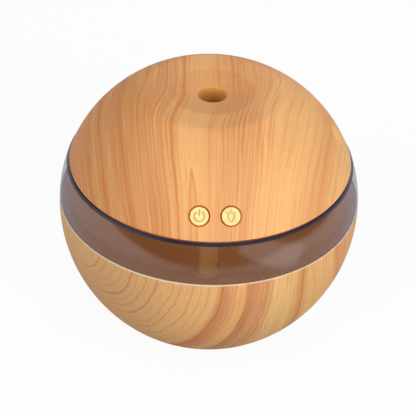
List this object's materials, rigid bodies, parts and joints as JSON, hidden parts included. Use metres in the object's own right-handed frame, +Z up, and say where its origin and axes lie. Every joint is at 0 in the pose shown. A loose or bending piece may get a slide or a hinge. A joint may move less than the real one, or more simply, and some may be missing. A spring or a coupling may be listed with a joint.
{
  "type": "essential oil diffuser",
  "caption": "Ball-shaped ultrasonic oil diffuser with a wood-grain bowl, a smoked clear tank band and a lift-off wood-grain lid with a dished mist vent and round push buttons.",
  "frame": {"origin": "on the table, under the middle of the bowl's foot", "axes": "+Z up through the mist vent, -Y towards the buttons, +Y towards the power socket"},
  "size_m": [0.128, 0.128, 0.1108],
  "materials": {
    "lid_wood": "satin moulded plastic with a printed pine grain",
    "bowl_wood": "satin moulded plastic with a printed pine grain",
    "smoked_clear": "clear smoked grey-violet moulding, polished",
    "foot_rubber": "matt rubber",
    "tray_plastic": "fine moulded plastic",
    "gasket_silicone": "soft brown silicone",
    "screw_steel": "zinc plated",
    "disc_metal": "plated ceramic disc",
    "ring_silicone": "soft white silicone",
    "holder_plastic": "fine moulded plastic",
    "lead_red": "soft wire jacket",
    "lead_grey": "soft wire jacket",
    "board_laminate": "coated circuit board",
    "chip_resin": "moulded resin",
    "coil_ferrite": "ferrite with a copper winding",
    "capacitor_can": "printed sleeve on an aluminium can",
    "socket_nylon": "natural nylon",
    "light_resin": "clear resin",
    "lens_clear": "frosted clear moulding",
    "socket_steel": "plated pressed steel",
    "switch_plastic": "moulded plastic",
    "button_cream": "cream gold moulding",
    "plunger_plastic": "moulded plastic",
    "tube_plastic": "fine beige moulding",
    "cap_plastic": "dark moulded plastic",
    "spring_steel": "drawn spring wire",
    "wick_fibre": "felted fibre stick"
  },
  "bodies": {
    "base": {"base_shell": "bowl_wood", "water_tank": "smoked_clear", "rubber_feet": "foot_rubber"},
    "lid": {"lid_shell": "lid_wood", "mist_chimney": "holder_plastic", "lid_tray": "tray_plastic", "lid_gasket": "gasket_silicone", "cover_screws": "screw_steel", "atomizer_disc": "disc_metal", "atomizer_ring": "ring_silicone", "atomizer_holder": "holder_plastic", "holder_screws": "screw_steel", "atomizer_leads": "lead_red", "control_board": "board_laminate", "board_screws": "screw_steel", "driver_chip": "chip_resin", "boost_coil": "coil_ferrite", "capacitors": "capacitor_can", "wire_sockets": "socket_nylon", "lights": "light_resin", "light_lenses": "lens_clear", "power_socket": "socket_steel", "switch_board": "board_laminate", "switch_board_screws": "screw_steel", "switch_bodies": "switch_plastic", "button_leads": "lead_grey"},
    "power_button": {"power_button": "button_cream"},
    "light_button": {"light_button": "button_cream"},
    "power_plunger": {"power_plunger": "plunger_plastic"},
    "light_plunger": {"light_plunger": "plunger_plastic"},
    "wick_tube": {"wick_tube": "tube_plastic", "tube_cap": "cap_plastic", "wick_spring": "spring_steel"},
    "wick": {"wick": "wick_fibre"}
  },
  "joints": [
    {"name": "lid_lift", "type": "slide", "parent": "base", "child": "lid", "axis": [0, 0, 1], "range_m": [0, 0.08]},
    {"name": "power_press", "type": "slide", "parent": "lid", "child": "power_button", "axis": [0, 0.85, -0.5268], "range_m": [0, 0.0005], "stiffness_N_per_m": 800},
    {"name": "light_press", "type": "slide", "parent": "lid", "child": "light_button", "axis": [0, 0.85, -0.5268], "range_m": [0, 0.0005], "stiffness_N_per_m": 800},
    {"name": "power_plunger_press", "type": "slide", "parent": "lid", "child": "power_plunger", "axis": [0, 0.85, -0.5268], "range_m": [0, 0.0005], "stiffness_N_per_m": 200},
    {"name": "light_plunger_press", "type": "slide", "parent": "lid", "child": "light_plunger", "axis": [0, 0.85, -0.5268], "range_m": [0, 0.0005], "stiffness_N_per_m": 200},
    {"name": "wick_tube_twist", "type": "hinge", "parent": "lid", "child": "wick_tube", "pos_m": [0, 0, 0.0745], "axis": [0, 0, 1], "range_deg": [0, 60]},
    {"name": "wick_press", "type": "slide", "parent": "wick_tube", "child": "wick", "axis": [0, 0, -1], "range_m": [0, 0.002], "stiffness_N_per_m": 100, "springref_m": -0.002, "deforming": ["wick_spring"]}
  ],
  "couplings": [
    {"joint": "power_plunger_press", "follows": "power_press", "ratio": 1},
    {"joint": "light_plunger_press", "follows": "light_press", "ratio": 1}
  ]
}
